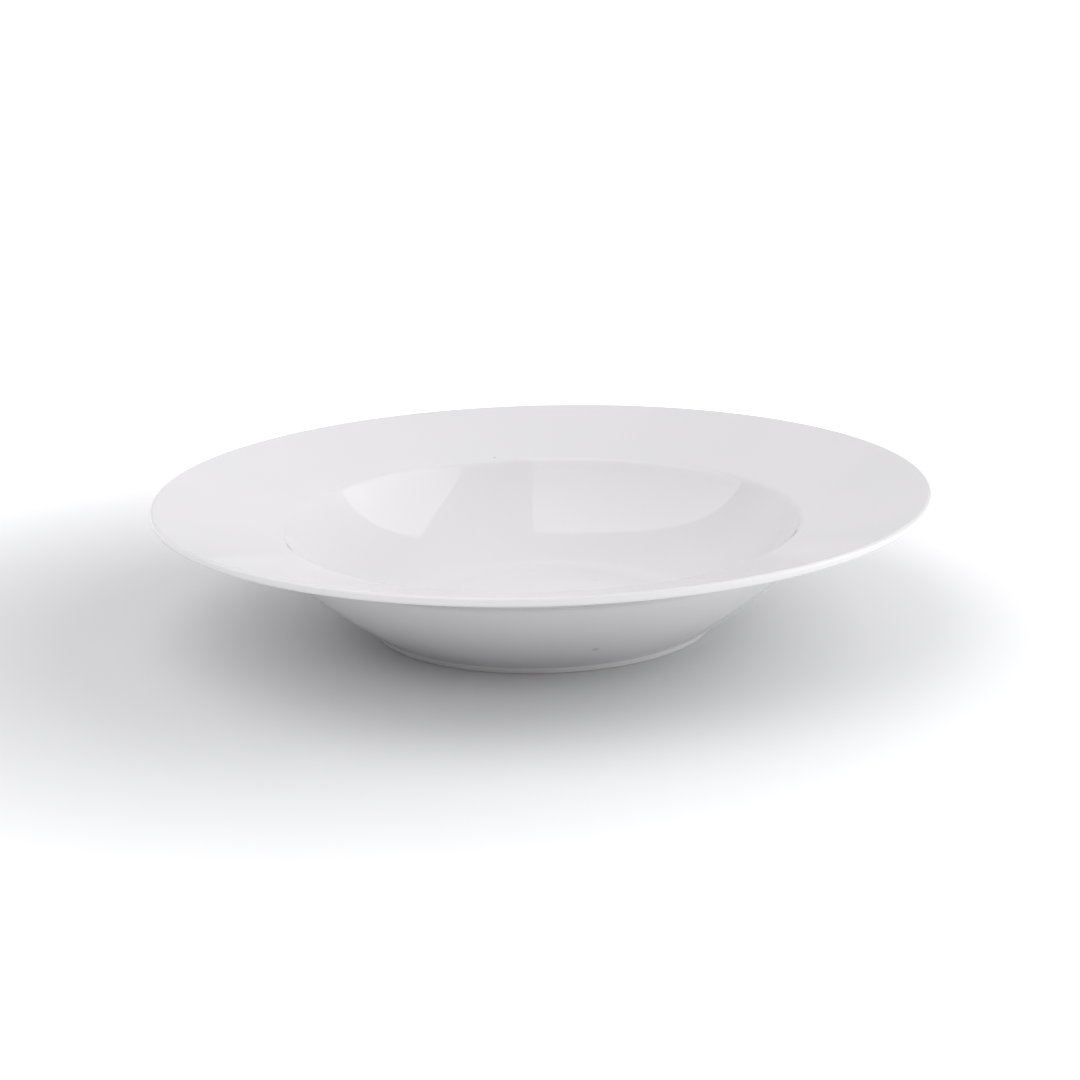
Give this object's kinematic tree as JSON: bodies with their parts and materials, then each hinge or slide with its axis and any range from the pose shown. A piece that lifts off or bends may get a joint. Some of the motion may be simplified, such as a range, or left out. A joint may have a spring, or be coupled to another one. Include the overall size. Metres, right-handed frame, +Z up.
{
  "type": "soup plate",
  "caption": "Round white glazed porcelain soup plate: a wide sloping rim around a deep well, standing on a low foot ring with a bare underside.",
  "frame": {"origin": "centre of the foot ring, on the surface that the plate stands on", "axes": "+Z up along the axis that the plate is turned about; X and Y are alike, as the plate is round"},
  "size_m": [0.23, 0.23, 0.0415],
  "materials": {
    "porcelain": "bare fired clay, ground smooth",
    "glaze": "high gloss"
  },
  "bodies": {
    "root": {"porcelain_body": "porcelain", "glaze_coat": "glaze", "base_glaze": "glaze"}
  },
  "joints": []
}
